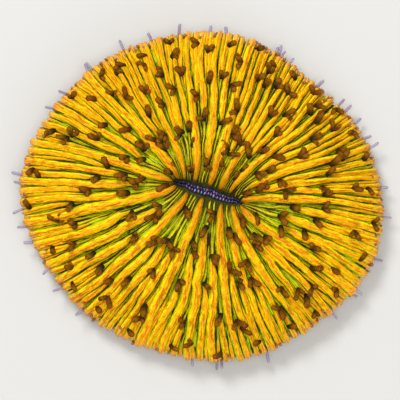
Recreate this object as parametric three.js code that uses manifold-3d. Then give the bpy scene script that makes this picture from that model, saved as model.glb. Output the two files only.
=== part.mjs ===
// A mushroom coral: a free-living plate coral, one animal that grew as one piece round a slit mouth.
// The mouth lies along X, the disc rests on the flat middle of its underside, and Z points up.
import * as THREE from 'three';
import Module from 'manifold-3d';
import { mergeVertices } from 'three/addons/utils/BufferGeometryUtils.js';

const wasm = await Module();
wasm.setup();

// Driving dimensions. Lengths are in millimetres and angles in degrees. A share is a part of the way
// from the mouth, 0, to the margin, 1.
const MEAN_RADIUS = 37.2;
const MARGIN_WAVES = [
  { count: 1, height: 1.7, peak: -111 },
  { count: 2, height: 2, peak: 4 },
  { count: 3, height: 0.4, peak: -17 },
  { count: 4, height: 0.7, peak: 15 },
  { count: 7, height: 0.3, peak: -8 },
];
const MOUTH_LENGTH = 15.2;
const MOUTH_PLACE = new THREE.Vector3(0.453, 0.907, 0);

// The body under the septa: a low dome above its edge line and a shallow bowl below it. A turn runs down
// its profile: 0 over the mouth, EDGE_TURN at the edge line and FLAT_TURN at the rim of the flat underside.
const EDGE_TURN = 90;
const FLAT_TURN = 180;
const DOME_RISE = 8.8;
const EDGE_HEIGHT = 4.2;
const EDGE_SHARE = 0.965;
const FLAT_SHARE = 0.62;
const FOSSA_DEPTH = 3;
const FOSSA_REACH = 2.6;

// The mouth, from the slit outwards: how far from the middle line, and how far above the pit's floor
const MOUTH_ROWS = [
  { reach: 0.25, lift: -0.9 },
  { reach: 0.8, lift: 1.1 },
  { reach: 1.45, lift: 0 },
];

// The septa grow in cycles, and each cycle stands between the septa of the ones before it: the share
// where it starts, its height, and half the width of its crest
const CYCLES = [
  { start: 0, height: 2.8, crest: 0.65 },
  { start: 0.13, height: 2.6, crest: 0.65 },
  { start: 0.28, height: 2.3, crest: 0.6 },
  { start: 0.46, height: 1.9, crest: 0 },
];
const YOUNGEST = CYCLES.length - 1;
const YOUNG_HEIGHT = 0.4; // of the full height, before a septum rises
const RISE_SPAN = 0.05;
const CREST_SHARE = 0.6; // the most of the space between two grooves that a crest takes
const MARGIN_HEIGHT = 0.5; // of the full height, at the edge line
const FADE_SHARE = 0.75; // where the septa start to get lower towards the margin

// The oldest septa: where each stands round the mouth, the share at which it rises, and the share at
// which the one in the middle of the space after it rises
const OLDEST = [
  { angle: 15, rise: 0.07, next: 0.24 },
  { angle: 36, rise: 0.2, next: 0.3 },
  { angle: 55, rise: 0.08, next: 0.35 },
  { angle: 73, rise: 0.06, next: 0.29 },
  { angle: 91, rise: 0.06, next: 0.17 },
  { angle: 116, rise: 0.07, next: 0.39 },
  { angle: 137, rise: 0.06, next: 0.38 },
  { angle: 155, rise: 0.08, next: 0.37 },
  { angle: 181, rise: 0.07, next: 0.35 },
  { angle: 207, rise: 0.06, next: 0.25 },
  { angle: 238, rise: 0.07, next: 0.37 },
  { angle: 265, rise: 0.06, next: 0.22 },
  { angle: 298, rise: 0.08, next: 0.23 },
  { angle: 321, rise: 0.06, next: 0.33 },
  { angle: 344, rise: 0.08, next: 0.39 },
];
const SPACE_CYCLES = [0, 3, 2, 3, 1, 3, 2, 3]; // the cycle of each septum from one of the oldest to the next
const THIRD_RISE = { from: 0.37, spread: 0.11 };
const FOURTH_RISE = { from: 0.54, spread: 0.28 };
const STRAY = 0.12; // of the space between two septa, by which one stands off its place

// How the septa wind, in degrees at the margin: whole groups of them swing aside, and each one winds
// about its own line. The sweep is how fast the swing turns on the way out.
const DRIFT = { swing: 1.6, groups: 3, sweep: 4 };
const WANDER = { swing: 0.5, sweep: 9 };

// Where the outlines across the septa are taken: shares on the dome, then degrees down the profile
const DOME_ROWS = [0.06, 0.1, 0.15, 0.21, 0.28, 0.37, 0.46, 0.59, 0.72, 0.84];
const EDGE_ROWS = [76, EDGE_TURN, 120];
const UNDER_ROWS = [150, FLAT_TURN];

// Tentacles: a blunt lump where a younger septum rises, and a pointed tip round the margin
const LUMP = { base: 0.65, tip: 0.5, length: 2.8, sunk: 0.6, sides: 4 };
const LUMP_LEAN = 30;
const LUMP_PLACES = [1, 2, 4, 5, 6]; // of the places in SPACE_CYCLES
const TIP_REACH = 1.3;

const SEED = 11;
const RANDOM_STEP = 16807;
const RANDOM_LIMIT = 2 ** 31 - 1;
const SMALL_ANGLE = 0.02; // radians, for the room that a septum has on either side
const MERGE_DISTANCE = 1e-4;

const TISSUE_COLOUR = 0xdca006;
const TISSUE_ROUGHNESS = 0.5;

const radians = THREE.MathUtils.degToRad;
const smoothstep = THREE.MathUtils.smoothstep;

function randomFrom(seed) {
  let state = seed;
  return () => {
    state = (state * RANDOM_STEP) % RANDOM_LIMIT;
    return state / RANDOM_LIMIT;
  };
}

function marginRadius(angle) {
  const bumps = MARGIN_WAVES.map(
    (wave) => wave.height * Math.cos(wave.count * (angle - radians(wave.peak))),
  );
  return bumps.reduce((sum, bump) => sum + bump, MEAN_RADIUS);
}

// The septa run out from the slit like the lines of a magnet: square to a family of ovals that have
// the slit's two ends as their foci
function discPoint(angle, share, height) {
  const focus = MOUTH_LENGTH / 2;
  const margin = Math.sqrt((marginRadius(angle) / focus) ** 2 - Math.cos(angle) ** 2);
  const out = share * margin;
  const x = focus * Math.sqrt(1 + out ** 2) * Math.cos(angle);
  return new THREE.Vector3(x, focus * out * Math.sin(angle), height);
}

// A point off the body's surface
function bodyPoint(angle, turn, lift) {
  const radius = marginRadius(angle);
  const above = turn < EDGE_TURN;
  const inner = above ? 0 : FLAT_SHARE;
  const reach = EDGE_SHARE - inner;
  const rise = above ? DOME_RISE : EDGE_HEIGHT;
  const sine = Math.sin(radians(turn));
  const cosine = Math.cos(radians(turn));
  const outward = new THREE.Vector2(rise * sine, radius * reach * cosine).normalize();
  const share = inner + reach * sine;
  const pit = above ? FOSSA_DEPTH * Math.exp(-(((share * radius) / FOSSA_REACH) ** 2)) : 0;
  const height = EDGE_HEIGHT + rise * cosine - pit + lift * outward.y;
  return discPoint(angle, share + (lift * outward.x) / radius, height);
}

const turnAt = (share) => THREE.MathUtils.radToDeg(Math.asin(share / EDGE_SHARE));
const shareAt = (turn) => EDGE_SHARE * Math.sin(radians(Math.min(turn, EDGE_TURN)));

function septaRoundTheMouth() {
  const random = randomFrom(SEED);
  return OLDEST.flatMap((oldest, i) => {
    const following = OLDEST[(i + 1) % OLDEST.length];
    const space = (following.angle - oldest.angle + 360) % 360;
    return SPACE_CYCLES.map((cycle, place) => {
      const stray = cycle ? STRAY * (random() - 0.5) : 0;
      const third = THIRD_RISE.from + THIRD_RISE.spread * random();
      const fourth = FOURTH_RISE.from + FOURTH_RISE.spread * random();
      return {
        cycle,
        place,
        angle: radians(oldest.angle + (space * (place + stray)) / SPACE_CYCLES.length),
        rise: [oldest.rise, oldest.next, third, fourth][cycle],
        phase: 2 * Math.PI * random(),
      };
    });
  });
}

function windingAngle(angle, phase, share) {
  const group = DRIFT.swing * Math.sin(DRIFT.groups * angle + DRIFT.sweep * share);
  const own = WANDER.swing * Math.sin(WANDER.sweep * share + phase);
  return angle + radians(share * (group + own));
}

function septumHeight(septum, turn) {
  const share = shareAt(turn);
  const grown = smoothstep(share, septum.rise - RISE_SPAN, septum.rise + RISE_SPAN);
  const outer = 1 - (1 - MARGIN_HEIGHT) * smoothstep(share, FADE_SHARE, EDGE_SHARE);
  const under = (FLAT_TURN - Math.max(turn, EDGE_TURN)) / (FLAT_TURN - EDGE_TURN);
  const full = CYCLES[septum.cycle].height * outer * under;
  return full * (YOUNG_HEIGHT + (1 - YOUNG_HEIGHT) * grown);
}

// Half the angle that a septum's crest takes, when the next septum is a space away
function halfCrest(septum, centre, space, share) {
  const one = discPoint(centre - SMALL_ANGLE / 2, share, 0);
  const other = discPoint(centre + SMALL_ANGLE / 2, share, 0);
  const wanted = (CYCLES[septum.cycle].crest * SMALL_ANGLE) / one.distanceTo(other);
  return Math.min(wanted, (CREST_SHARE * space) / 2);
}

// One outline across all the septa that stand at this turn: groove, crest edge, crest edge, groove...
function ringOfSepta(septa, turn) {
  const share = shareAt(turn);
  const standing = septa.filter((septum) => CYCLES[septum.cycle].start <= share);
  return standing.flatMap((septum, i) => {
    const next = standing[(i + 1) % standing.length];
    const space = (next.angle - septum.angle + 2 * Math.PI) % (2 * Math.PI);
    const centre = windingAngle(septum.angle, septum.phase, share);
    const half = halfCrest(septum, centre, space, share);
    const offsets = half > 0 ? [-half, half] : [0];
    const lift = septumHeight(septum, turn);
    const tip = septum.cycle === YOUNGEST && turn === EDGE_TURN ? TIP_REACH : 0;
    const crest = offsets.map((offset) => ({
      key: septum.angle + offset,
      point: bodyPoint(centre + offset, turn, lift + tip),
    }));
    const groove = septum.angle + space / 2;
    const grooveAngle = windingAngle(groove, (septum.phase + next.phase) / 2, share);
    return [...crest, { key: groove, point: bodyPoint(grooveAngle, turn, 0) }];
  });
}

// A smooth outline with one point on the line of each septum
function smoothRing(septa, turn, lift) {
  return septa.map((septum) => ({
    key: septum.angle,
    point: bodyPoint(windingAngle(septum.angle, septum.phase, shareAt(turn)), turn, lift),
  }));
}

// Joins two outlines with triangles. Each goes once round, in order of its keys.
function joinRings(inner, outer, triangles) {
  const keyOf = (ring, i) => ring[i % ring.length].key + (i >= ring.length ? 2 * Math.PI : 0);
  let i = 0;
  let j = 0;
  while (i < inner.length || j < outer.length) {
    const a = inner[i % inner.length];
    const b = outer[j % outer.length];
    const outerFirst = keyOf(outer, j + 1) <= keyOf(inner, i + 1);
    if (i === inner.length || (j < outer.length && outerFirst)) {
      j += 1;
      triangles.push([a, b, outer[j % outer.length]]);
    } else {
      i += 1;
      triangles.push([a, b, inner[i % inner.length]]);
    }
  }
}

function fan(middle, ring, facesUp, triangles) {
  ring.forEach((corner, i) => {
    const next = ring[(i + 1) % ring.length];
    triangles.push(facesUp ? [middle, corner, next] : [middle, next, corner]);
  });
}

function discGeometry(septa) {
  const oldest = septa.filter((septum) => septum.cycle === 0);
  const mouthRings = MOUTH_ROWS.map(({ reach, lift }) =>
    smoothRing(oldest, turnAt(reach / MEAN_RADIUS), lift),
  );
  const septaTurns = [...DOME_ROWS.map(turnAt), ...EDGE_ROWS];
  const septaRings = septaTurns.map((turn) => ringOfSepta(septa, turn));
  const underRings = UNDER_ROWS.map((turn) => smoothRing(septa, turn, 0));
  const rings = [...mouthRings, ...septaRings, ...underRings];

  const triangles = [];
  const slitFloor = { point: new THREE.Vector3(0, 0, rings[0][0].point.z) };
  fan(slitFloor, rings[0], true, triangles);
  rings.slice(1).forEach((ring, i) => joinRings(rings[i], ring, triangles));
  fan({ point: new THREE.Vector3() }, rings.at(-1), false, triangles);

  const points = triangles.flat().map((corner) => corner.point);
  return new THREE.BufferGeometry().setFromPoints(points);
}

// A leaning lump on the crest of a septum, at the place where the septum rises
function lumpGeometry(septum, random) {
  const { base, tip, length, sunk, sides } = LUMP;
  const geometry = new THREE.CylinderGeometry(tip, base, length, sides);
  geometry.translate(0, length / 2 - sunk, 0);
  geometry.rotateX(Math.PI / 2);
  geometry.rotateX(radians(LUMP_LEAN * (random() - 0.5)));
  geometry.rotateY(radians(LUMP_LEAN * (random() - 0.5)));
  const turn = turnAt(septum.rise);
  const angle = windingAngle(septum.angle, septum.phase, septum.rise);
  const foot = bodyPoint(angle, turn, septumHeight(septum, turn));
  return geometry.translate(foot.x, foot.y, foot.z);
}

function toSolid(geometry) {
  geometry.deleteAttribute('normal');
  geometry.deleteAttribute('uv');
  const merged = mergeVertices(geometry, MERGE_DISTANCE);
  const vertProperties = merged.attributes.position.array;
  return new wasm.Manifold(
    new wasm.Mesh({ numProp: 3, vertProperties, triVerts: new Uint32Array(merged.index.array) }),
  );
}

function fromSolid(solid) {
  const { vertProperties, triVerts } = solid.getMesh();
  const geometry = new THREE.BufferGeometry();
  geometry.setAttribute('position', new THREE.BufferAttribute(vertProperties, 3));
  geometry.setIndex(new THREE.BufferAttribute(triVerts, 1));
  geometry.computeVertexNormals();
  return geometry;
}

function coralMesh() {
  const septa = septaRoundTheMouth();
  const random = randomFrom(SEED + 1);
  const lumps = septa
    .filter((septum) => LUMP_PLACES.includes(septum.place))
    .map((septum) => toSolid(lumpGeometry(septum, random)));
  const disc = toSolid(discGeometry(septa));
  const whole = lumps.reduce((joined, lump) => joined.add(lump), disc);
  const material = new THREE.MeshStandardMaterial({
    color: TISSUE_COLOUR,
    roughness: TISSUE_ROUGHNESS,
    metalness: 0,
    flatShading: true,
  });
  const mesh = new THREE.Mesh(fromSolid(whole), material);
  mesh.name = 'mushroom_coral';
  mesh.position.copy(MOUTH_PLACE);
  return mesh;
}

const object = new THREE.Group();
object.add(coralMesh());

export default object;
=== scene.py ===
import math

import bpy
import numpy as np
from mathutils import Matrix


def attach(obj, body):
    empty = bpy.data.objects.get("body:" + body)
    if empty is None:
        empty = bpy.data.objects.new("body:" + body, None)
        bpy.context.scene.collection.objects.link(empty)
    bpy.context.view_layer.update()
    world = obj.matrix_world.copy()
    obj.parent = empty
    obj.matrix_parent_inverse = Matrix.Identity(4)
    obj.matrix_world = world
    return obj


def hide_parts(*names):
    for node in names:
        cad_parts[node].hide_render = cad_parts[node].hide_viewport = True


bl_info = {
    "name": "Mushroom coral",
    "version": (1, 0, 0),
    "blender": (4, 5, 0),
    "location": "3D View > Sidebar > Coral",
    "description": "Dresses the solid of a mushroom coral in ridges, tentacles and living colour",
    "category": "Add Mesh",
}

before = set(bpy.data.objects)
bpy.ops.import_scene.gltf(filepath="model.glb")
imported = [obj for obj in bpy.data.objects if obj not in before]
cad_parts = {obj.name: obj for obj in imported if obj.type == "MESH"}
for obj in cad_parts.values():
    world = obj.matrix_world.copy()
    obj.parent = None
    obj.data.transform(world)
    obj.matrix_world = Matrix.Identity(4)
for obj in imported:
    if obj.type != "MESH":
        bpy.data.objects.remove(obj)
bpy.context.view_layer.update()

# The coral's own dimensions, as its solid has them. Lengths are in millimetres and angles in degrees.
# A share is a part of the way from the mouth, 0, to the margin, 1. A turn runs down the profile of the
# body: 0 over the mouth, EDGE_TURN at the edge line and FLAT_TURN where the flat underside starts.
MM = 0.001
MEAN_RADIUS = 37.2
MARGIN_WAVES = [(1, 1.7, -111), (2, 2, 4), (3, 0.4, -17), (4, 0.7, 15), (7, 0.3, -8)]
MOUTH_LENGTH = 15.2
MOUTH_PLACE = (0.453, 0.907)
DOME_RISE = 8.8
EDGE_HEIGHT = 4.2
EDGE_SHARE = 0.965
FLAT_SHARE = 0.62
EDGE_TURN = 90
FLAT_TURN = 180
FOSSA_DEPTH = 3
FOSSA_REACH = 2.6

# The oldest septa: angle round the mouth, the share where each rises, and the share where the one in
# the middle of the space after it rises
OLDEST = [
    (15, 0.07, 0.24),
    (36, 0.2, 0.3),
    (55, 0.08, 0.35),
    (73, 0.06, 0.29),
    (91, 0.06, 0.17),
    (116, 0.07, 0.39),
    (137, 0.06, 0.38),
    (155, 0.08, 0.37),
    (181, 0.07, 0.35),
    (207, 0.06, 0.25),
    (238, 0.07, 0.37),
    (265, 0.06, 0.22),
    (298, 0.08, 0.23),
    (321, 0.06, 0.33),
    (344, 0.08, 0.39),
]
SPACE_CYCLES = (0, 3, 2, 3, 1, 3, 2, 3)
THIRD_RISE = (0.37, 0.11)
FOURTH_RISE = (0.54, 0.28)
STRAY = 0.12
SEED = 11
RANDOM_STEP = 16807
RANDOM_LIMIT = 2147483647
SMALL_ANGLE = 0.002  # radians

# How the septa wind, in degrees at the margin: whole groups of them swing aside, and each one winds
# about its own line. The sweep is how fast the swing turns on the way out.
DRIFT = {"swing": 1.6, "groups": 3, "sweep": 4}
WANDER = {"swing": 0.5, "sweep": 9}

# Each cycle of septa: full height and half width, then its thin young part's reach in shares, its height
# and width as parts of the full ones, and how much of the grown colour it has. The last cycle is too
# fine for the solid, and rises on the outer third of the way.
CYCLE_HEIGHT = np.array([2.5, 2.35, 2.1, 1.85, 1.5])
CYCLE_WIDTH = np.array([1.18, 1.05, 0.98, 0.88, 0.62])
LAST_CYCLE = 4
LAST_RISE = (0.64, 0.97)
YOUNG_REACH = np.array([0.06, 0.5, 0.42, 0.3, 0.22])
YOUNG_HEIGHT = np.array([0.5, 0.55, 0.5, 0.45, 0.5])
YOUNG_WIDTH = np.array([0.3, 0.42, 0.34, 0.28, 0.28])
YOUNG_COLOUR = np.array([0.5, 0.1, 0.0, 0.0, 0.0])
YOUNG_CAP = 0.56  # the widest that a young part gets, as a part of the full width
FIRST_SHARE = 0.031  # no septum starts nearer the mouth
EARLIER = 0.028  # how much nearer the mouth the oldest ones rise here than in the solid

# The shares before and after its rise in which a septum grows up, and in which it takes its full room
RISE_SPAN = 0.02
CROWDING_SPAN = (0.17, 0.07)

# Tentacles besides those where the ridges rise: one beside every so many septa, from the first, between
# two shares
EXTRA_TENTACLES = [
    (26, 9, 0.1, 0.18),
    (24, 10, 0.18, 0.32),
    (10, 4, 0.78, 0.87),
    (8, 5, 0.88, 0.93),
]
TENTACLE_LEAD = 0.025  # a tentacle stands this much before its ridge's rise
FLATTER_SHARE = 0.86  # past it the tentacles are shorter and turned more aside
LOBE_CHANCES = [0.38, 0.54, 0.08]
LOBE_GIRTH = (1.1, 1.0, 0.9)
FINGER_STEPS = 13

# A draw for every septum end: below the first number a brown nub stands beside it, and above the second
# a slender clear tentacle
NUB_BELOW = 0.3
SLENDER_ABOVE = 0.87

FADE_SHARE = 0.75  # where the septa start to get lower towards the margin
MARGIN_HEIGHT = 0.5
LAST_TURN = 172
# Painted light: ridge flanks that face this side are painted lime and yellow, the others orange with darker
# grooves
PAINTED_LIGHT_SIDE = np.array([-0.89, 0.44, 0.0])  # the photograph's upper left, where the painted light comes from
GRAIN_SIZE = 0.36 * MM
LIP_STEPS = 320
LIP_OVERRUN = 0.8

# The photograph's frame
PHOTO_WIDTH = 400
PHOTO_SCALE = 0.2162 * MM
MOUTH_PIXEL = (207.5, 192.3)
MOUTH_TILT = 18.5
CAMERA_HEIGHT = 0.6

# Each soft light's name, place and size in metres, and power in watts
LIGHTS = [
    ("Key light", (-0.42, 0.4, 0.75), 0.3, 7.1),
    ("Top light", (0.1, -0.05, 0.95), 0.7, 4.3),
    ("Fill light", (0.5, -0.5, 0.4), 0.6, 1.9),
]
WORLD_LIGHT = 0.52


def smooth(value, low, high):
    part = np.clip((value - low) / (high - low), 0, 1)
    return part * part * (3 - 2 * part)


def random_from(seed):
    """The same draws as the solid's own, one after another."""
    state = seed
    while True:
        state = (state * RANDOM_STEP) % RANDOM_LIMIT
        yield state / RANDOM_LIMIT


def margin_radius(angle):
    waves = [height * np.cos(count * (angle - math.radians(peak))) for count, height, peak in MARGIN_WAVES]
    return MEAN_RADIUS + sum(waves)


def disc_point(angle, share, height):
    """The septa run out from the slit like a magnet's lines, square to ovals round its two ends."""
    focus = MOUTH_LENGTH / 2
    out = share * np.sqrt((margin_radius(angle) / focus) ** 2 - np.cos(angle) ** 2)
    x = focus * np.sqrt(1 + out**2) * np.cos(angle) + MOUTH_PLACE[0]
    y = focus * out * np.sin(angle) + MOUTH_PLACE[1]
    return np.stack([x, y, height + 0 * x], -1)


def share_at(turn):
    sine = np.sin(np.radians(turn))
    return np.where(turn < EDGE_TURN, EDGE_SHARE * sine, FLAT_SHARE + (EDGE_SHARE - FLAT_SHARE) * sine)


def turn_at(share):
    return np.degrees(np.arcsin(np.clip(share / EDGE_SHARE, 0, 1)))


def body_point(angle, turn, lift):
    """A point off the body's surface under the septa, in millimetres."""
    radius = margin_radius(angle)
    above = turn < EDGE_TURN
    reach = np.where(above, EDGE_SHARE, EDGE_SHARE - FLAT_SHARE)
    rise = np.where(above, DOME_RISE, EDGE_HEIGHT)
    sine = np.sin(np.radians(turn))
    cosine = np.cos(np.radians(turn))
    length = np.hypot(rise * sine, radius * reach * cosine)
    share = share_at(turn)
    pit = np.where(above, FOSSA_DEPTH * np.exp(-((share * radius / FOSSA_REACH) ** 2)), 0)
    height = EDGE_HEIGHT + rise * cosine - pit + lift * radius * reach * cosine / length
    return disc_point(angle, share + lift * rise * sine / length / radius, height)


def unit(vectors):
    return vectors / np.linalg.norm(vectors, axis=-1, keepdims=True)


def body_directions(angle, turn):
    """Outward from the body's surface and sideways across the septa at each place, and the millimetres
    sideways for each radian."""
    outward = unit(body_point(angle, turn, 0.1) - body_point(angle, turn, 0))
    sideways = body_point(angle + SMALL_ANGLE, turn, 0) - body_point(angle - SMALL_ANGLE, turn, 0)
    spread = np.linalg.norm(sideways, axis=-1) / (2 * SMALL_ANGLE)
    sideways = unit(sideways - outward * np.sum(sideways * outward, -1, keepdims=True))
    return outward, sideways, spread


def septa_round_the_mouth():
    """Every septum's cycle, angle, rise and phase, in order round the mouth."""
    random = random_from(SEED)
    rows = []
    for i, (angle, rise, next_rise) in enumerate(OLDEST):
        space = (OLDEST[(i + 1) % len(OLDEST)][0] - angle) % 360
        for place, cycle in enumerate(SPACE_CYCLES):
            stray = STRAY * (next(random) - 0.5) if cycle else 0
            third = THIRD_RISE[0] + THIRD_RISE[1] * next(random)
            fourth = FOURTH_RISE[0] + FOURTH_RISE[1] * next(random)
            own_angle = math.radians(angle + space * (place + stray) / len(SPACE_CYCLES))
            own_rise = (rise, next_rise, third, fourth)[cycle]
            rows.append((cycle, own_angle, own_rise, 2 * math.pi * next(random)))
    return np.array(rows).T


def with_last_cycle(septa):
    """One more septum in every space, which the solid leaves out."""
    rng = np.random.default_rng(SEED)
    angle = septa[1]
    space = (np.roll(angle, -1) - angle) % (2 * math.pi)
    count = len(angle)
    last = [
        np.full(count, LAST_CYCLE),
        angle + space / 2,
        rng.uniform(*LAST_RISE, count),
        rng.uniform(0, 2 * math.pi, count),
    ]
    return np.stack([septa, last], -1).reshape(4, -1)


CYCLE, ANGLE, RISE, PHASE = with_last_cycle(septa_round_the_mouth())
CYCLE = CYCLE.astype(int)
COUNT = len(CYCLE)
PLACES = 2 * len(SPACE_CYCLES)  # from one of the oldest septa to the next
RISE[CYCLE == 0] -= EARLIER
REACH = YOUNG_REACH[CYCLE] * (0.6 + 0.6 * np.modf(PHASE * 3)[0])
START = np.maximum(RISE - REACH, FIRST_SHARE)


def growth(share, before=RISE_SPAN, after=RISE_SPAN):
    """How far each septum is grown at each share: 0 while young, then 1."""
    return smooth(share[None, :], (RISE - before)[:, None], (RISE + after)[:, None])


def crowd(share):
    """The angle of every septum's middle and half the angle it has, when the grown ones push the young
    ones together. Rows are septa and columns are shares."""
    start = START[:, None]
    young = YOUNG_WIDTH[CYCLE][:, None]
    present = smooth(share[None, :], start - 0.02, start + 0.04)
    grown = growth(share, *CROWDING_SPAN)
    wanted = CYCLE_WIDTH[CYCLE][:, None] * (young + (1 - young) * grown) * present + 1e-4
    middle = np.zeros_like(wanted)
    half = np.zeros_like(wanted)
    for first in range(0, COUNT, PLACES):
        after = (first + PLACES) % COUNT
        from_angle = ANGLE[first]
        space = (ANGLE[after] - from_angle) % (2 * math.pi)
        members = wanted[first : first + PLACES]
        total = members.sum(0) - members[0] / 2 + wanted[after] / 2
        edge = np.cumsum(members, 0) - members[0] / 2
        middle[first : first + PLACES] = from_angle + space * (edge - members / 2) / total
        half[first : first + PLACES] = space * members / 2 / total
    middle[::PLACES] = ANGLE[::PLACES][:, None]
    group = DRIFT["swing"] * np.sin(DRIFT["groups"] * middle + DRIFT["sweep"] * share)
    own = WANDER["swing"] * np.sin(WANDER["sweep"] * share + PHASE[:, None])
    return middle + np.radians(share * (group + own)), half


def septum_height(i, share, turn, grown):
    full = CYCLE_HEIGHT[CYCLE[i]] * (1 - (1 - MARGIN_HEIGHT) * smooth(share, FADE_SHARE, EDGE_SHARE))
    under = np.where(turn > EDGE_TURN, 1 - smooth(turn, 88, 150) * 0.86, 1)
    last = 1 - smooth(turn, 150, LAST_TURN)
    young = YOUNG_HEIGHT[CYCLE[i]] * (0.6 + 0.4 * smooth(share, START[i], RISE[i]))
    return full * (young + (1 - young) * grown) * under * last


class CoralSizes(bpy.types.PropertyGroup):
    """Sizes of the coral's finish."""

    step: bpy.props.FloatProperty(
        name="Ridge step", description="Length of one step along a ridge", default=0.19 * MM, unit="LENGTH"
    )
    sides: bpy.props.IntProperty(
        name="Ridge sides", description="Faces round one ridge", default=12, min=6
    )
    grain_depth: bpy.props.FloatProperty(
        name="Grain depth", description="Height of the grains on the ridges", default=0.11 * MM, unit="LENGTH"
    )
    grain_size: bpy.props.FloatProperty(
        name="Grain size", description="Distance between grains", default=GRAIN_SIZE, unit="LENGTH"
    )
    tentacle_length: bpy.props.FloatProperty(
        name="Tentacle length", description="Length of a tentacle on top", default=3.0 * MM, unit="LENGTH"
    )
    tentacle_width: bpy.props.FloatProperty(
        name="Tentacle width", description="Thickness of a tentacle on top", default=1.12 * MM, unit="LENGTH"
    )
    rib_spacing: bpy.props.FloatProperty(
        name="Lip rib spacing",
        description="Distance between ribs on the lips",
        default=0.7 * MM,
        unit="LENGTH",
    )


def colour_property(name, description, default):
    return bpy.props.FloatVectorProperty(
        name=name, description=description, default=default, subtype="COLOR", size=3, min=0, max=1
    )


class CoralColours(bpy.types.PropertyGroup):
    """Colours of the living tissue, with painted shade and painted highlights among them."""

    crest: colour_property("Crest", "Top of a grown ridge", (0.98, 0.34, 0.0005))
    streak: colour_property("Streak", "Red-brown streaks along a crest", (0.5, 0.145, 0.001))
    shoulder: colour_property("Shoulder", "Yellow edges of a crest", (0.94, 0.57, 0.0005))
    flank: colour_property("Flank", "Sides of a ridge", (0.7, 0.76, 0.001))
    young: colour_property("Young ridge", "Thin ridges that haven't risen", (0.46, 0.62, 0.004))
    # Near black: painted shade at the bottoms of the grooves, in the lines where ridges meet and on the body
    # between them; the dark hairs on the ridges use it too
    groove: colour_property("Groove", "Bottom of the grooves", (0.026, 0.023, 0.002))
    # Dark olive: bare tissue round the lips, made darker as painted shade of the sunken fossa
    band: colour_property("Band", "Bare tissue round the lips", (0.04, 0.05, 0.004))
    rim: colour_property("Rim", "Ridge ends at the margin", (0.88, 0.4, 0.09))
    # Pale: the ridge ends' own pale grains, brightened on their raised tops as painted highlight
    pale: colour_property("Pale grain", "Grains on the ridge ends", (0.97, 0.66, 0.34))
    tentacle: colour_property("Tentacle", "Round end of a tentacle", (0.2, 0.07, 0.001))
    tentacle_red: colour_property("Red tentacle", "The redder tentacles", (0.13, 0.036, 0.002))
    # Near black: painted shade at the foot of each tentacle, and its own dark mottles
    tentacle_shade_and_mottle: colour_property("Tentacle foot", "Where a tentacle grows out", (0.018, 0.012, 0.002))
    lip: colour_property("Lip", "Between the ribs of the lips", (0.021, 0.014, 0.06))
    # Pale lavender: the lips' pale striations, partly painted highlight on the rib tops
    lip_rib: colour_property("Lip rib", "Ribs of the lips", (0.36, 0.28, 0.55))
    tip: colour_property("Margin tentacle", "Clear tentacles round the margin", (0.3, 0.26, 0.38))
    underside: colour_property("Underside", "Bare skeleton underneath", (0.56, 0.44, 0.3))
    floor: colour_property("Floor", "The plain floor", (0.5, 0.495, 0.48))


class Value:
    """A socket that Python's own signs work on: each sign adds its Math node."""

    def __init__(self, tree, socket):
        self.tree = tree
        self.socket = socket

    def __add__(self, other):
        return self.tree.math("ADD", self, other)

    def __radd__(self, other):
        return self.tree.math("ADD", other, self)

    def __sub__(self, other):
        return self.tree.math("SUBTRACT", self, other)

    def __rsub__(self, other):
        return self.tree.math("SUBTRACT", other, self)

    def __mul__(self, other):
        return self.tree.math("MULTIPLY", self, other)

    def __rmul__(self, other):
        return self.tree.math("MULTIPLY", other, self)

    def __pow__(self, other):
        return self.tree.math("POWER", self, other)


class Nodes:
    """Adds nodes to a material's or a modifier's tree."""

    def __init__(self, tree):
        self.tree = tree

    def node(self, kind, settings=None, sockets=None, output=0):
        made = self.tree.nodes.new(kind)
        for name, setting in (settings or {}).items():
            setattr(made, name, setting)
        for name, content in (sockets or {}).items():
            if isinstance(content, Value):
                self.tree.links.new(content.socket, made.inputs[name])
            else:
                made.inputs[name].default_value = content
        return Value(self, made.outputs[output])

    def math(self, operation, *values):
        return self.node("ShaderNodeMath", {"operation": operation}, dict(enumerate(values)))

    def vector(self, operation, *values):
        return self.node("ShaderNodeVectorMath", {"operation": operation}, dict(enumerate(values)))

    def scaled(self, vector, factor):
        sockets = {"Vector": vector, "Scale": factor}
        return self.node("ShaderNodeVectorMath", {"operation": "SCALE"}, sockets)

    def vector_of(self, x, y, z):
        return self.node("ShaderNodeCombineXYZ", sockets={"X": x, "Y": y, "Z": z})

    def between(self, value, low, high, start=0.0, end=1.0):
        sockets = {"Value": value, "From Min": low, "From Max": high, "To Min": start, "To Max": end}
        return self.node("ShaderNodeMapRange", {"interpolation_type": "SMOOTHSTEP"}, sockets)

    def mix(self, factor, first, second):
        colours = {0: factor, 6: as_colour(first), 7: as_colour(second)}
        return self.node("ShaderNodeMix", {"data_type": "RGBA"}, colours, output=2)

    def noise(self, place, scale, detail=2.0, roughness=0.5):
        sockets = {"Vector": place, "Scale": scale, "Detail": detail, "Roughness": roughness}
        return self.node("ShaderNodeTexNoise", sockets=sockets)


def as_colour(content):
    return content if isinstance(content, Value) else (*content, 1)


# Guides: each is a run of points, and the modifier below grows a ridge or a finger along it


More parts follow.
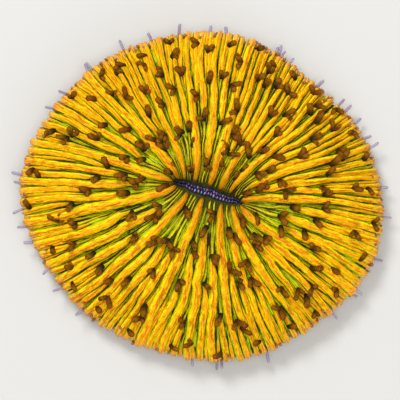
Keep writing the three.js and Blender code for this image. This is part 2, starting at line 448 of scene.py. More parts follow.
def guide_object(name, runs):
    """One mesh of unconnected lines. Each run is a dictionary of arrays, one row for each point."""
    points = np.concatenate([run["foot"] for run in runs]) * MM
    lengths = [len(run["foot"]) for run in runs]
    starts = np.cumsum([0] + lengths[:-1])
    edges = [(s + k, s + k + 1) for s, length in zip(starts, lengths) for k in range(length - 1)]
    mesh = bpy.data.meshes.new(name)
    mesh.from_pydata(points.tolist(), edges, [])
    for key in runs[0]:
        if key == "foot":
            continue
        data = np.concatenate([run[key] for run in runs])
        kind = "FLOAT_VECTOR" if data.ndim == 2 else "FLOAT"
        attribute = mesh.attributes.new(key, kind, "POINT")
        attribute.data.foreach_set("vector" if data.ndim == 2 else "value", data.astype(np.float32).ravel())
    guide = bpy.data.objects.new(name, mesh)
    bpy.context.scene.collection.objects.link(guide)
    return guide


def read(nodes, name, kind="FLOAT"):
    return nodes.node("GeometryNodeInputNamedAttribute", {"data_type": kind}, {"Name": name})


def store(nodes, geometry, name, value, kind="FLOAT"):
    sockets = {"Geometry": geometry, "Name": name, "Value": value}
    return nodes.node("GeometryNodeStoreNamedAttribute", {"data_type": kind, "domain": "POINT"}, sockets)


def add_inputs(tree, numbers):
    tree.interface.new_socket("Geometry", in_out="INPUT", socket_type="NodeSocketGeometry")
    for name, kind in numbers:
        tree.interface.new_socket(name, in_out="INPUT", socket_type=kind)
    tree.interface.new_socket("Geometry", in_out="OUTPUT", socket_type="NodeSocketGeometry")
    return tree.nodes.new("NodeGroupInput")


def growing_tree():
    """Grows a closed body along each guide. Across it the top is a round arch as wide and as high as the
    guide says, and below it is sunk by a fixed depth. Grains then roughen it."""
    tree = bpy.data.node_groups.new("Grow along guides", "GeometryNodeTree")
    names = [
        ("Sides", "NodeSocketInt"),
        ("Grain depth", "NodeSocketFloat"),
        ("Grain size", "NodeSocketFloat"),
        ("Material", "NodeSocketMaterial"),
    ]
    entry = add_inputs(tree, names)
    nodes = Nodes(tree)
    given = {socket.name: Value(nodes, socket) for socket in entry.outputs}

    circle = nodes.node("GeometryNodeCurvePrimitiveCircle", sockets={"Resolution": given["Sides"]})
    around = nodes.node("GeometryNodeSplineParameter")
    profile = store(nodes, circle, "around", around)
    lines = nodes.node("GeometryNodeMeshToCurve", sockets={"Mesh": given["Geometry"]})
    here = nodes.node("GeometryNodeInputPosition")
    lines = store(nodes, lines, "foot", here, "FLOAT_VECTOR")
    sockets = {"Curve": lines, "Profile Curve": profile, "Fill Caps": True}
    swept = nodes.node("GeometryNodeCurveToMesh", sockets=sockets)

    angle = read(nodes, "around") * (2 * math.pi)
    across = nodes.math("SINE", angle)
    top = nodes.math("MAXIMUM", nodes.math("COSINE", angle), 0.0) ** read(nodes, "roundness")
    below = nodes.math("MINIMUM", nodes.math("COSINE", angle), 0.0) * read(nodes, "sunk")
    sideways = nodes.scaled(read(nodes, "side", "FLOAT_VECTOR"), across * read(nodes, "half_width"))
    upwards = nodes.scaled(read(nodes, "up", "FLOAT_VECTOR"), top * read(nodes, "height") + below)
    foot = read(nodes, "foot", "FLOAT_VECTOR")
    place = nodes.vector("ADD", foot, nodes.vector("ADD", sideways, upwards))
    swept = store(nodes, swept, "crest", top)
    swept = store(nodes, swept, "across", across)
    shaped = nodes.node("GeometryNodeSetPosition", sockets={"Geometry": swept, "Position": place})

    scale = nodes.math("DIVIDE", 1.0, given["Grain size"])
    settings = {"feature": "SMOOTH_F1"}
    sockets = {"Vector": here, "Scale": scale, "Smoothness": 0.35, "Randomness": 1.0}
    grains = nodes.node("ShaderNodeTexVoronoi", settings, sockets)
    relief = (0.5 - grains) * given["Grain depth"] * read(nodes, "grainy")
    offset = nodes.scaled(nodes.node("GeometryNodeInputNormal"), relief)
    shaped = nodes.node("GeometryNodeSetPosition", sockets={"Geometry": shaped, "Offset": offset})

    shaped = nodes.node("GeometryNodeSetShadeSmooth", sockets={"Geometry": shaped})
    shaped = nodes.node("GeometryNodeRealizeInstances", sockets={"Geometry": shaped})
    sockets = {"Geometry": shaped, "Material": given["Material"]}
    shaped = nodes.node("GeometryNodeSetMaterial", sockets=sockets)
    leave = tree.nodes.new("NodeGroupOutput")
    tree.links.new(shaped.socket, leave.inputs[0])
    return tree


def grow(guide, name, material, sides, grain_depth, grain_size):
    """Runs the tree on the guides and keeps its result as a plain mesh."""
    tree = bpy.data.node_groups.get("Grow along guides") or growing_tree()
    modifier = guide.modifiers.new("Grow", "NODES")
    modifier.node_group = tree
    settings = {
        "Sides": sides,
        "Grain depth": grain_depth,
        "Grain size": grain_size,
        "Material": material,
    }
    for item in tree.interface.items_tree:
        if item.in_out == "INPUT" and item.name in settings:
            modifier[item.identifier] = settings[item.name]
    bpy.context.view_layer.update()
    graph = bpy.context.evaluated_depsgraph_get()
    mesh = bpy.data.meshes.new_from_object(guide.evaluated_get(graph))
    mesh.name = name
    guide.modifiers.remove(modifier)
    bpy.data.objects.remove(guide)
    return add_piece(name, mesh, material)


def add_piece(name, mesh, material):
    if not len(mesh.polygons):
        raise RuntimeError(f"{name} came out empty")
    if mesh.materials:
        mesh.materials[0] = material
    else:
        mesh.materials.append(material)
    mesh.polygons.foreach_set("use_smooth", np.ones(len(mesh.polygons), bool))
    piece = bpy.data.objects.new(name, mesh)
    bpy.context.scene.collection.objects.link(piece)
    return piece


def join_frame(piece):
    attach(piece, "root")
    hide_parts("mushroom_coral")


def grid_mesh(name, points, attributes):
    """A closed skin from rows of points that run round: the first and last rows close on their middles."""
    rows, columns = points.shape[:2]
    middle_first = points[0].mean(0)
    middle_last = points[-1].mean(0)
    flat = np.concatenate([points.reshape(-1, 3), [middle_first, middle_last]]) * MM
    index = np.arange(rows * columns).reshape(rows, columns)
    right = np.roll(index, -1, 1)
    quads = np.stack([index[:-1], index[1:], right[1:], right[:-1]], -1).reshape(-1, 4)
    first = [(rows * columns, a, b) for a, b in zip(index[0], right[0])]
    last = [(rows * columns + 1, b, a) for a, b in zip(index[-1], right[-1])]
    mesh = bpy.data.meshes.new(name)
    mesh.from_pydata(flat.tolist(), [], quads.tolist() + first + last)
    for key, data in attributes.items():
        attribute = mesh.attributes.new(key, "FLOAT", "POINT")
        ends = [data[0].mean(), data[-1].mean()]
        attribute.data.foreach_set("value", np.append(data.ravel(), ends).astype(np.float32))
    return mesh


# Materials


def new_material(name):
    material = bpy.data.materials.new(name)
    material.use_nodes = True
    nodes = Nodes(material.node_tree)
    shader = material.node_tree.nodes["Principled BSDF"]
    return material, nodes, shader


def wire(nodes, shader, **sockets):
    for name, content in sockets.items():
        target = shader.inputs[name.replace("_", " ")]
        if isinstance(content, Value):
            nodes.tree.links.new(content.socket, target)
        else:
            target.default_value = content


def attribute(nodes, name):
    return nodes.node("ShaderNodeAttribute", {"attribute_name": name}, output=2)


def bumped(nodes, height, strength, distance):
    sockets = {"Strength": strength, "Distance": distance, "Height": height}
    return nodes.node("ShaderNodeBump", sockets=sockets)


def ridge_material(colours):
    material, nodes, shader = new_material("Ridge tissue")
    crest = attribute(nodes, "crest")
    grown = attribute(nodes, "grown")
    share = attribute(nodes, "share")
    seed = attribute(nodes, "seed")
    along = attribute(nodes, "along")
    across = attribute(nodes, "across")
    place = nodes.node("ShaderNodeTexCoord", output=3)

    # Streaks run along the ridge, patches are long parts of it, and grains are dots. Across each ridge a
    # painted light value is above 0 on the flank that faces the painted light's side, and below 0 on the
    # other.
    streaks = nodes.noise(nodes.vector_of(along * 0.14, across * 1.4, seed * 40), 1.0, 2.0, 0.6)
    threads = nodes.noise(nodes.vector_of(along * 0.32, across * 2.2, seed * 70), 1.0, 2.0, 0.6)
    patches = nodes.noise(nodes.vector_of(along * 0.12, seed * 23, 0.0), 1.0, 1.0)
    grain = nodes.node("ShaderNodeTexVoronoi", sockets={"Vector": place, "Scale": 1 / GRAIN_SIZE})
    fleck = nodes.noise(place, 1 / (0.4 * MM), 2.0, 0.65)
    fibres = nodes.noise(nodes.vector_of(along * 0.6, across * 3.6, seed * 90), 1.0, 1.0, 0.6)
    toward_painted_light = across * attribute(nodes, "painted_light_facing")
    lateral = nodes.math("ABSOLUTE", across) + toward_painted_light * 0.34

    # Orange and yellow on top with red-brown streaks, then yellow edges and lime sides
    # Painted light and shade: the lit flank gets wider yellow edges and lime, the shaded flank more orange
    # and streaks
    yellow = nodes.between(threads + patches + toward_painted_light * 0.4, 0.97, 1.2)
    top = nodes.mix(yellow, colours.crest, colours.shoulder)
    top = nodes.mix(nodes.between(streaks - toward_painted_light * 0.12, 0.49, 0.58), top, colours.streak)
    edge = nodes.between(lateral + (threads - 0.5) * 1.2 + (fleck - 0.5) * 0.6, 0.25, 0.4)
    tissue = nodes.mix(edge, top, colours.shoulder)
    side = nodes.between(lateral + (streaks - 0.5) * 0.9 + (fleck - 0.5) * 0.4, 0.46, 0.62)
    tissue = nodes.mix(side, tissue, colours.flank)

    # Young parts are lime, and fine fibres and hairs run over all
    green = nodes.mix(nodes.between(crest + (fleck - 0.5) * 0.6, 0.4, 1.1), colours.young, colours.flank)
    tissue = nodes.mix(nodes.between(grown + (streaks - 0.5) * 0.5, 0.1, 0.7), green, tissue)
    tissue = nodes.mix(nodes.between(threads, 0.55, 0.61) * 0.4, tissue, colours.streak)
    tissue = nodes.mix(nodes.between(grain, 0.3, 0.6) * 0.2, tissue, colours.streak)
    tissue = nodes.mix(nodes.between(fibres, 0.55, 0.61) * 0.6, tissue, colours.streak)
    tissue = nodes.mix(nodes.between(fibres, 0.46, 0.38) * 0.55, tissue, colours.shoulder)
    hair = nodes.noise(nodes.vector_of(along * 0.5, across * 5.5, seed * 55), 1.0, 1.0, 0.6)
    tissue = nodes.mix(nodes.between(hair, 0.58, 0.64) * 0.35, tissue, colours.groove)

    # The foot of the ridge is painted dark as shade, or lime where it is painted as lit, and a thin line of
    # painted shade lies where two ridges meet, darkest on the shaded flank
    lit = nodes.between(patches + (1 - grown) * 0.12, 0.46, 0.54)
    lit = lit * nodes.between(share, 0.05, 0.3, 0.6, 0.85) * nodes.between(toward_painted_light, -0.5, 0.3)
    valley = nodes.mix(lit, colours.groove, colours.young)
    deep = nodes.between(crest + toward_painted_light * 0.26 + (fleck - 0.5) * 0.2, 0.1, 0.28)
    tissue = nodes.mix(deep, valley, tissue)
    meeting = nodes.math("ABSOLUTE", across) * attribute(nodes, "reach") - toward_painted_light * 0.1
    line = nodes.between(meeting + (fleck - 0.5) * 0.14, 1.03, 1.11)
    line = line * nodes.between(patches, 0.35, 0.5, 0.35, 0.85) * grown
    tissue = nodes.mix(line, tissue, colours.groove)

    # Redder towards the mouth, paler and flecked at the margin, and bare by the lips and underneath. The pale
    # grain tops at the margin are partly painted highlight, and the dark band by the lips partly painted
    # shade.
    tissue = nodes.mix(nodes.between(share, 0.36, 0.06) * grown * 0.6, tissue, colours.streak)
    rim = nodes.between(share + (fleck - 0.5) * 0.04, 0.925, 0.955)
    tissue = nodes.mix(rim * 0.25, tissue, colours.rim)
    tissue = nodes.mix(rim * nodes.between(fleck, 0.52, 0.6) * 0.45, tissue, colours.streak)
    # Pale on the raised grain tops at the ridge ends: partly their own colour, partly painted highlight
    tissue = nodes.mix(rim * nodes.between(grain, 0.3, 0.1) * 0.9, tissue, colours.pale)
    tissue = nodes.mix(nodes.between(share + (fleck - 0.5) * 0.02, 0.03, 0.06), colours.band, tissue)
    tissue = nodes.mix(attribute(nodes, "below"), tissue, colours.underside)

    wire(
        nodes,
        shader,
        Base_Color=tissue,
        Roughness=nodes.between(grain, 0.2, 0.7, 0.4, 0.65),
        Normal=bumped(nodes, fleck - grain * 0.6 + threads * 1.6, 0.9, 0.16 * MM),
        Specular_IOR_Level=0.08,
        Subsurface_Weight=0.04,
        Subsurface_Scale=0.3 * MM,
        Subsurface_Radius=(1.0, 0.6, 0.1),
        Coat_Weight=0.02,
        Coat_Roughness=0.25,
    )
    return material


def body_material(colours):
    material, nodes, shader = new_material("Body skin")
    below = attribute(nodes, "below")
    place = nodes.node("ShaderNodeTexCoord", output=3)
    cloud = nodes.noise(place, 1 / (3 * MM), 4.0, 0.6)
    cosine = attribute(nodes, "cosine")
    share = attribute(nodes, "share")
    line = nodes.vector_of(cosine * 70, attribute(nodes, "sine") * 70, share * 5)
    threads = nodes.noise(line, 1.0, 2.0, 0.6)
    pores = nodes.node("ShaderNodeTexVoronoi", sockets={"Vector": place, "Scale": 1 / (0.6 * MM)})
    # Between the ridges the body is painted near black as shade in the gaps, with lime threads
    green = nodes.between(threads + (cloud - 0.5) * 0.6, 0.47, 0.6)
    green = green * nodes.between(share, 0.05, 0.3, 0.6, 1.0)
    valley = nodes.mix(green, colours.groove, colours.young)
    # Round the lips the body is the dark band: bare tissue, made darker as painted shade of the sunken fossa
    band = nodes.mix(nodes.between(threads, 0.4, 0.55), colours.groove, colours.band)
    valley = nodes.mix(nodes.between(share + (cloud - 0.5) * 0.1, 0.05, 0.2), band, valley)
    bone = nodes.mix(nodes.between(cloud, 0.35, 0.7), colours.underside, colours.shoulder)
    bone = nodes.mix(nodes.between(pores, 0.3, 0.6) * 0.4, bone, colours.streak)
    bone = nodes.mix(nodes.between(share, 0.55, 0.9), colours.underside, bone)
    wire(
        nodes,
        shader,
        Base_Color=nodes.mix(below, valley, bone),
        Roughness=nodes.between(cloud, 0.3, 0.7, 0.6, 0.8),
        Specular_IOR_Level=0.15,
        Normal=bumped(nodes, cloud - pores, 0.6, 0.15 * MM),
    )
    return material


def tentacle_material(colours):
    material, nodes, shader = new_material("Tentacle")
    along = attribute(nodes, "along")
    place = nodes.node("ShaderNodeTexCoord", output=3)
    mottle = nodes.noise(place, 1 / (0.7 * MM), 3.0, 0.6)
    # Painted shade: dark at the foot where the tentacle leaves the body, brown towards the round end; the
    # dark mottles are its own
    high = nodes.between(along + (mottle - 0.5) * 0.4, 0.3, 0.8)
    skin = nodes.mix(high, colours.tentacle_shade_and_mottle, colours.tentacle)
    skin = nodes.mix(nodes.between(mottle, 0.48, 0.6) * 0.7, skin, colours.tentacle_shade_and_mottle)
    skin = nodes.mix(nodes.between(attribute(nodes, "seed"), 0.5, 1.0) * 0.5, skin, colours.tentacle_red)
    wire(
        nodes,
        shader,
        Base_Color=skin,
        Roughness=nodes.between(mottle, 0.3, 0.7, 0.5, 0.7),
        Normal=bumped(nodes, mottle, 0.5, 0.1 * MM),
        Specular_IOR_Level=0.05,
    )
    return material


def margin_material(colours):
    material, nodes, shader = new_material("Clear tentacle")
    along = attribute(nodes, "along")
    place = nodes.node("ShaderNodeTexCoord", output=3)
    mottle = nodes.noise(place, 1 / (0.4 * MM), 2.0, 0.6)
    slender = attribute(nodes, "seed")
    skin = nodes.mix(nodes.between(along, 0.15, 0.55), colours.tentacle, colours.tip)
    faint = nodes.between(along + (mottle - 0.5) * 0.6, 0.6, 1.0) * 0.14
    nub = nodes.mix(faint, colours.tentacle, colours.tip)
    skin = nodes.mix(slender, nub, skin)
    wire(
        nodes,
        shader,
        Base_Color=skin,
        Roughness=0.3,
        Alpha=1 - nodes.between(along + mottle * 0.2, 0.2, 0.9, 0.0, 0.28) * slender,
        Normal=bumped(nodes, mottle, 0.3, 0.06 * MM),
        Subsurface_Weight=0.25,
        Subsurface_Scale=0.6 * MM,
    )
    return material


def lip_material(colours):
    material, nodes, shader = new_material("Lips")
    rib = attribute(nodes, "rib")
    crest = attribute(nodes, "crest")
    seed = attribute(nodes, "seed")
    place = nodes.node("ShaderNodeTexCoord", output=3)
    across = attribute(nodes, "across")
    mottle = nodes.noise(place, 1 / (0.5 * MM), 3.0, 0.6)
    inner = nodes.between(across + (mottle - 0.5) * 1.2, -0.9, 0.3)
    # Pale ribs on the tops and inner sides of the lips: their own pale striations, brightened on top as
    # painted highlight
    ribs = nodes.between(rib + (mottle - 0.5) * 0.9, 0.55, 0.95) * nodes.between(crest, 0.2, 0.8) * inner
    pale = nodes.mix(seed, colours.lip, colours.lip_rib)
    wire(
        nodes,
        shader,
        Base_Color=nodes.mix(ribs, colours.lip, pale),
        Roughness=nodes.between(mottle, 0.3, 0.7, 0.25, 0.45),
        Normal=bumped(nodes, mottle, 0.4, 0.08 * MM),
        Coat_Weight=0.3,
    )
    return material


def plain_material(name, colour):
    material, nodes, shader = new_material(name)
    wire(nodes, shader, Base_Color=as_colour(colour), Roughness=0.75)
    return material


# Pieces


class Crowd:
    """Where every septum runs, worked out once on fine steps down the profile."""

    FINE_STEPS = 1200

    def __init__(self):
        self.turns = np.linspace(1, LAST_TURN, self.FINE_STEPS)
        self.shares = share_at(self.turns)
        rising = np.where(self.turns < EDGE_TURN, self.shares, EDGE_SHARE)
        self.middle, self.half = crowd(rising)
        self.grown = growth(rising)

    def stations(self, i, step):
        """Indexes of the fine steps that one septum's guide uses, further apart where it is young."""
        line = body_point(self.middle[i], self.turns, 0.0)
        pace = step * (1 + 1.2 * (1 - self.grown[i])) * np.where(self.turns > 95, 2.4, 1)
        strides = np.linalg.norm(np.diff(line, axis=0), axis=1) / pace[1:]
        walked = np.concatenate([[0], np.cumsum(strides)])
        started = (self.shares >= START[i]) | (self.turns > 60)
        chosen = np.searchsorted(walked, np.arange(0, walked[-1]))
        return chosen[started[chosen]]


def wave(walked, lengths, phase):
    """A slow unsteady swing between -1 and 1, with a new pattern for each phase."""
    swings = [np.sin(2 * math.pi * walked / length + phase * (3 + 4 * k)) for k, length in enumerate(lengths)]
    return sum(swings) / len(lengths)


def septum_run(i, crowding, step):
    """The guide of one septum, from the start of its thin young part to its end on the underside."""
    at = crowding.stations(i, step)
    turn, share, angle = crowding.turns[at], crowding.shares[at], crowding.middle[i][at]
    grown = crowding.grown[i][at]
    up, side, spread = body_directions(angle, turn)
    room = crowding.half[i][at] * spread
    foot = body_point(angle, turn, -0.05)
    walked = np.concatenate([[0], np.cumsum(np.linalg.norm(np.diff(foot, axis=0), axis=1))])
    phase = PHASE[i]
    filled = smooth(share, RISE[i] - 0.03, RISE[i] + 0.09)
    swell = wave(walked, (7.1, 3.3, 1.9), phase)
    sway = wave(walked, (15.0, 8.0), phase + 2)
    foot = foot + side * (sway * room * (0.3 - 0.18 * grown))[:, None]
    nose = np.clip(walked / 1.3, 0, 1)
    nose = np.sqrt(nose * (2 - nose)) * (0.6 + 0.4 * smooth(share, RISE[i] - 0.04, RISE[i] + 0.12))
    wide = CYCLE_WIDTH[CYCLE[i]] * 1.05 * (YOUNG_CAP + (1 - YOUNG_CAP) * filled)
    tight = smooth(np.modf(phase * 3)[0], 0.42, 0.7)
    fused = 1.05 + 0.3 * grown + (0.2 * smooth(share, 0.5, 0.8) + 0.3 * smooth(turn, 62, 85)) * tight
    fused = fused - 0.22 * smooth(share, 0.6, 0.85) * (1 - tight)
    width = np.minimum(wide * (1 + 0.3 * smooth(turn, 62, 85)), fused * room) * (1 + 0.1 * swell)
    width = width * (1 - 0.5 * smooth(turn, 91, 130)) * (0.72 + 0.28 * smooth(share, 0.06, 0.45))
    teeth = wave(walked, (0.62, 0.47), phase + 5) * smooth(grown, 0.3, 1)
    height = septum_height(i, share, turn, grown) * (1 + 0.06 * swell + 0.035 * teeth)
    tint = YOUNG_COLOUR[CYCLE[i]]
    return {
        "foot": foot,
        "up": up,
        "side": side,
        "half_width": np.maximum(width * nose, 0.02) * MM,
        "height": np.maximum(height * nose, 0.03) * MM,
        "sunk": np.full(len(foot), 0.35) * MM,
        "roundness": 0.9 - 0.15 * grown,
        "grainy": 0.6 + 0.4 * grown,
        "grown": grown + (1 - grown) * tint,
        # Painted light: how far this side of the ridge faces the painted light's side
        "painted_light_facing": side @ PAINTED_LIGHT_SIDE,
        "reach": width / np.maximum(room, 0.05) * (0.85 if CYCLE[i] == LAST_CYCLE else 1),
        "share": share,
        "seed": np.full(len(foot), phase / (2 * math.pi)),
        "along": walked,
        "below": smooth(turn, 96, 125),
    }


# The places of each piece's septa, counted from one of the oldest
RIDGE_PIECES = {
    "oldest_ridges": (0,),
    "second_ridges": (8,),
    "third_ridges": (4, 12),
    "fourth_ridges_left": (2, 10),
    "fourth_ridges_right": (6, 14),
    "last_ridges": (1, 3, 5, 7, 9, 11, 13, 15),
}


class CORAL_OT_ridges(bpy.types.Operator):
    """Grow the septa, cycle by cycle, from the mouth over the margin to the underside"""

    bl_idname = "coral.ridges"
    bl_label = "Ridges"

    def execute(self, context):
        sizes = context.scene.coral_sizes
        material = ridge_material(context.scene.coral_colours)
        crowding = Crowd()
        for name, places in RIDGE_PIECES.items():
            chosen = [i for i in range(COUNT) if i % PLACES in places]
            runs = [septum_run(i, crowding, sizes.step / MM) for i in chosen]
            guide = guide_object(name + "_guides", runs)
            sides = sizes.sides - 4 if name == "last_ridges" else sizes.sides
            piece = grow(guide, name, material, sides, sizes.grain_depth, sizes.grain_size)
            join_frame(piece)
        return {"FINISHED"}


class CORAL_OT_body(bpy.types.Operator):
    """Make the domed body between the ridges, with its flat underside"""

    bl_idname = "coral.body"
    bl_label = "Body"

    def execute(self, context):
        material = body_material(context.scene.coral_colours)
        angles = np.linspace(0, 2 * math.pi, 360, endpoint=False)
        turns = np.concatenate([np.linspace(0.6, EDGE_TURN, 70), np.linspace(94, FLAT_TURN, 30)])
        angle, turn = np.meshgrid(angles, turns)
        points = body_point(angle, turn, 0.0)
        inside = np.linspace(0.9, 0.1, 9)[:, None, None]
        rim = points[-1]
        flat = rim.mean(0) + (rim - rim.mean(0)) * inside
        points = np.concatenate([points, flat])
        share = np.concatenate([share_at(turn), FLAT_SHARE * inside[..., 0] + 0 * flat[..., 0]])
        below = np.concatenate([smooth(turn, 96, 125), np.ones(flat.shape[:2])])
        turned = angle[0] + 0 * share
        attributes = {"share": share, "below": below, "cosine": np.cos(turned), "sine": np.sin(turned)}
        mesh = grid_mesh("body", points, attributes)
        join_frame(add_piece("body", mesh, material))
        return {"FINISHED"}


def finger_run(foot, up, lean, length, radius, seed, pointed):
    """The guide of one tentacle: it leaves along up, bends towards lean, and ends in a round tip."""
    part = 1 - (1 - np.linspace(0, 1, FINGER_STEPS)[:, None]) ** 2
    bend = foot + up * length * 0.28
    end = bend + lean * length * 0.72
    line = (1 - part) ** 2 * foot + 2 * part * (1 - part) * bend + part**2 * end
    heading = unit(np.gradient(line, axis=0))
    side = unit(np.cross(heading, np.roll(up, 1) + 0.37))
    over = np.cross(side, heading)
    part = part[:, 0]
    cap = (0.8 + 2 * pointed) * radius / length
    tip = np.sqrt(np.clip(1 - (np.clip(part - 1 + cap, 0, 1) / cap) ** 2, 0.004, 1))
    waist = 1 - pointed * part + (1 - pointed) * 0.1 * np.sin(part * 4 - 1.7)
    wide = radius * waist * tip
    return {
        "foot": line,
        "up": over,
        "side": side,
        "half_width": wide * MM,
        "height": wide * MM,
        "sunk": wide * MM,
        "roundness": np.ones(FINGER_STEPS),
        "grainy": np.ones(FINGER_STEPS),
        "seed": np.full(FINGER_STEPS, seed),
        "along": part,
    }


class CORAL_OT_tentacles(bpy.types.Operator):
    """Grow the short brown tentacles where the younger ridges rise, and some beside them"""

    bl_idname = "coral.tentacles"
    bl_label = "Tentacles"

    def execute(self, context):
        sizes = context.scene.coral_sizes
        material = tentacle_material(context.scene.coral_colours)
        rng = np.random.default_rng(SEED)
        runs = []
        for i in range(COUNT):
            if 0 < CYCLE[i] < LAST_CYCLE:
                runs += self.tentacle_runs(i, RISE[i] - TENTACLE_LEAD, 0.0, sizes, rng)
            for every, first, low, high in EXTRA_TENTACLES:
                if i % every == first:
                    runs += self.tentacle_runs(i, rng.uniform(low, high), 1.0, sizes, rng)
        guide = guide_object("tentacle_guides", runs)
        piece = grow(guide, "tentacles", material, 10, 0.12 * MM, 0.5 * MM)
        join_frame(piece)
        return {"FINISHED"}

    def tentacle_runs(self, i, share, beside, sizes, rng):
        """One tentacle or a forked one, on a septum's line or in the groove beside it."""
        middle, half = crowd(np.array([share]))
        angle = middle[i] + half[i] * beside
        turn = turn_at(np.array([share]))
        up, side, _ = body_directions(angle, turn)
        up, side = up[0], side[0]
        outward = np.cross(side, up)
        foot = body_point(angle, turn, (0.8 - 0.3 * beside) * CYCLE_HEIGHT[CYCLE[i]])[0]
        length = sizes.tentacle_length / MM * rng.uniform(0.8, 1.25)
        radius = sizes.tentacle_width / MM / 2 * rng.uniform(0.85, 1.15)
        swing = rng.uniform(-1.1, 1.1)
        if share > FLATTER_SHARE:
            swing = rng.uniform(0.9, 1.6) * rng.choice([-1, 1])
            length *= 0.85
            radius *= 0.9
        lobes = rng.choice([1, 2, 3], p=LOBE_CHANCES)
        radius *= LOBE_GIRTH[lobes - 1]
        turn_by = rng.choice([-1, 1])
        runs = []
        for _ in range(lobes):
            level = outward * math.cos(swing) + side * math.sin(swing)
            lean = unit(up * rng.uniform(-0.05, 0.2) + level)
            runs.append(finger_run(foot, up, lean, length, radius, rng.random(), 0.0))
            swing += turn_by * rng.uniform(0.8, 2.1)
            length *= rng.uniform(0.6, 0.9)
            radius *= 0.92
        return runs


class CORAL_OT_margin(bpy.types.Operator):
    """Grow the slender clear tentacles and the brown nubs between the ridge ends"""

    bl_idname = "coral.margin"
    bl_label = "Margin tentacles"

    def execute(self, context):
        material = margin_material(context.scene.coral_colours)
        rng = np.random.default_rng(SEED + 1)
        runs = []
        middle, half = crowd(np.array([EDGE_SHARE]))
        for i in range(COUNT):
            kind = rng.random()
            if NUB_BELOW < kind < SLENDER_ABOVE:
                continue
            slender = kind > SLENDER_ABOVE
            angle = middle[i] + half[i] * 1.05
            turn = np.array([rng.uniform(84, 97) if slender else rng.uniform(72, 84)])
            up, side, _ = body_directions(angle, turn)
            foot = body_point(angle, turn, 0.1)[0]
            tilt = np.array([0, 0, rng.uniform(-0.2, 0.35)])
            lean = unit(up[0] + side[0] * rng.uniform(-0.4, 0.4) + tilt)
            if slender:
                length, radius = rng.uniform(2.2, 3.2), rng.uniform(0.26, 0.36)
            else:
                length, radius = rng.uniform(1.0, 1.6), rng.uniform(0.22, 0.36)
            runs.append(finger_run(foot, up[0], lean, length, radius, float(slender), 0.08 * slender))
        guide = guide_object("margin_guides", runs)
        piece = grow(guide, "margin_tentacles", material, 8, 0.04 * MM, 0.5 * MM)
        join_frame(piece)
        return {"FINISHED"}


class CORAL_OT_mouth(bpy.types.Operator):
    """Grow the ribbed lips of the slit mouth"""

    bl_idname = "coral.mouth"
    bl_label = "Mouth"

    def execute(self, context):
        sizes = context.scene.coral_sizes
        material = lip_material(context.scene.coral_colours)
        runs = [self.lip_run(1, sizes), self.lip_run(-1, sizes)]
        guide = guide_object("lip_guides", runs)
        piece = grow(guide, "lips", material, 20, 0.05 * MM, 0.3 * MM)
        join_frame(piece)
        return {"FINISHED"}

    def lip_run(self, way, sizes):
        """One of the two lips, with ribs across it that fit between the other's."""
        reach = MOUTH_LENGTH / 2 + LIP_OVERRUN
        x = np.linspace(-reach, reach, LIP_STEPS)
        floor = EDGE_HEIGHT + DOME_RISE - FOSSA_DEPTH
        uneven = 0.6 * np.sin(x * 1.7 + way) + 0.5 * np.sin(x * 2.9 + 2 * way)
        rib = 0.5 + 0.5 * np.cos(2 * math.pi * x * MM / sizes.rib_spacing + way * math.pi / 2 + uneven)
        bright = 0.66 - 0.3 * way + 0.4 * np.sin(x * 3.3 + 3 * way)
        taper = np.sqrt(np.clip(1 - (x / reach) ** 2, 0.0004, 1))
        wander = 0.12 * np.sin(x * 1.1 + 1) + 0.08 * np.sin(x * 2.3)
        y = way * 0.45 * taper + wander
        ends = smooth(np.abs(x - 0.4), 0.3 * reach, 0.75 * reach)
        line = np.stack([x + MOUTH_PLACE[0], MOUTH_PLACE[1] + y, np.full_like(x, floor)], -1)
        return {
            "foot": line,
            "up": np.tile([0.0, 0.0, 1.0], (len(x), 1)),
            "side": np.tile([0.0, -1.0 * way, 0.0], (len(x), 1)),
            "half_width": (0.38 + 0.12 * rib) * taper * MM,
            "height": (1.0 + 0.35 * rib) * taper * MM,
            "sunk": np.full_like(x, 0.8) * MM,
            "roundness": np.full_like(x, 0.7),
            "grainy": np.ones_like(x),
            "rib": rib,
            "seed": np.clip((1 - ends) * bright, 0, 1),
            "along": x,
        }


def look_at(thing, place, target):
    away = np.array(place) - np.array(target)
    level = math.hypot(away[0], away[1])
    thing.location = place
    thing.rotation_euler = (math.atan2(level, away[2]), 0, math.atan2(away[0], -away[1]))


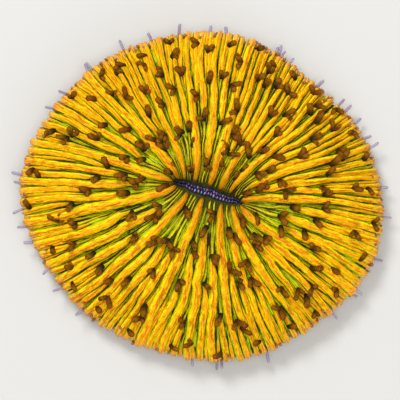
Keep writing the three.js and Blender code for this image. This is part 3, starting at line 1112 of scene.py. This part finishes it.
class CORAL_OT_stage(bpy.types.Operator):
    """Set the plain floor, the soft lights and the camera straight above"""

    bl_idname = "coral.stage"
    bl_label = "Stage"

    def execute(self, context):
        colours = context.scene.coral_colours
        bpy.ops.mesh.primitive_plane_add(size=3.0, location=(0, 0, 0))
        floor = context.active_object
        floor.name = "floor"
        floor.data.materials.append(plain_material("Floor", colours.floor))
        for light in LIGHTS:
            self.add_light(*light)
        world = bpy.data.worlds.new("Studio")
        world.use_nodes = True
        background = world.node_tree.nodes["Background"]
        background.inputs["Color"].default_value = (1, 1, 1, 1)
        background.inputs["Strength"].default_value = WORLD_LIGHT
        context.scene.world = world
        context.scene.view_settings.view_transform = "Standard"
        self.add_camera(context)
        return {"FINISHED"}

    def add_light(self, name, place, size, power):
        data = bpy.data.lights.new(name, "AREA")
        data.shape = "DISK"
        data.size = size
        data.energy = power
        light = bpy.data.objects.new(name, data)
        bpy.context.scene.collection.objects.link(light)
        look_at(light, place, (0, 0, 0))

    def add_camera(self, context):
        """The photograph looks straight down, and its mouth lies across it, tilted to the right."""
        across = (PHOTO_WIDTH / 2 - MOUTH_PIXEL[0]) * PHOTO_SCALE
        up = (MOUTH_PIXEL[1] - PHOTO_WIDTH / 2) * PHOTO_SCALE
        tilt = math.radians(MOUTH_TILT)
        x = MOUTH_PLACE[0] * MM + across * math.cos(tilt) - up * math.sin(tilt)
        y = MOUTH_PLACE[1] * MM + across * math.sin(tilt) + up * math.cos(tilt)
        data = bpy.data.cameras.new("Camera")
        data.sensor_width = 36
        edge_plane = CAMERA_HEIGHT - EDGE_HEIGHT * MM
        data.lens = data.sensor_width * edge_plane / (PHOTO_WIDTH * PHOTO_SCALE)
        camera = bpy.data.objects.new("Camera", data)
        camera.location = (x, y, CAMERA_HEIGHT)
        camera.rotation_euler = (0, 0, tilt)
        context.scene.collection.objects.link(camera)
        context.scene.camera = camera


class CORAL_PT_panel(bpy.types.Panel):
    """The coral's pieces, sizes and colours."""

    bl_label = "Mushroom coral"
    bl_idname = "CORAL_PT_panel"
    bl_space_type = "VIEW_3D"
    bl_region_type = "UI"
    bl_category = "Coral"

    def draw(self, context):
        for operator in OPERATORS:
            self.layout.operator(operator.bl_idname)
        for group in (context.scene.coral_sizes, context.scene.coral_colours):
            for name in group.__annotations__:
                self.layout.prop(group, name)


OPERATORS = (
    CORAL_OT_stage,
    CORAL_OT_body,
    CORAL_OT_ridges,
    CORAL_OT_tentacles,
    CORAL_OT_margin,
    CORAL_OT_mouth,
)
CLASSES = (CoralSizes, CoralColours, *OPERATORS, CORAL_PT_panel)


def register():
    for cls in CLASSES:
        bpy.utils.register_class(cls)
    bpy.types.Scene.coral_sizes = bpy.props.PointerProperty(type=CoralSizes)
    bpy.types.Scene.coral_colours = bpy.props.PointerProperty(type=CoralColours)


def unregister():
    del bpy.types.Scene.coral_colours
    del bpy.types.Scene.coral_sizes
    for cls in reversed(CLASSES):
        bpy.utils.unregister_class(cls)


def main():
    register()
    bpy.ops.coral.stage()
    bpy.ops.coral.body()
    bpy.ops.coral.ridges()
    bpy.ops.coral.tentacles()
    bpy.ops.coral.margin()
    bpy.ops.coral.mouth()


if __name__ == "__main__":
    main()
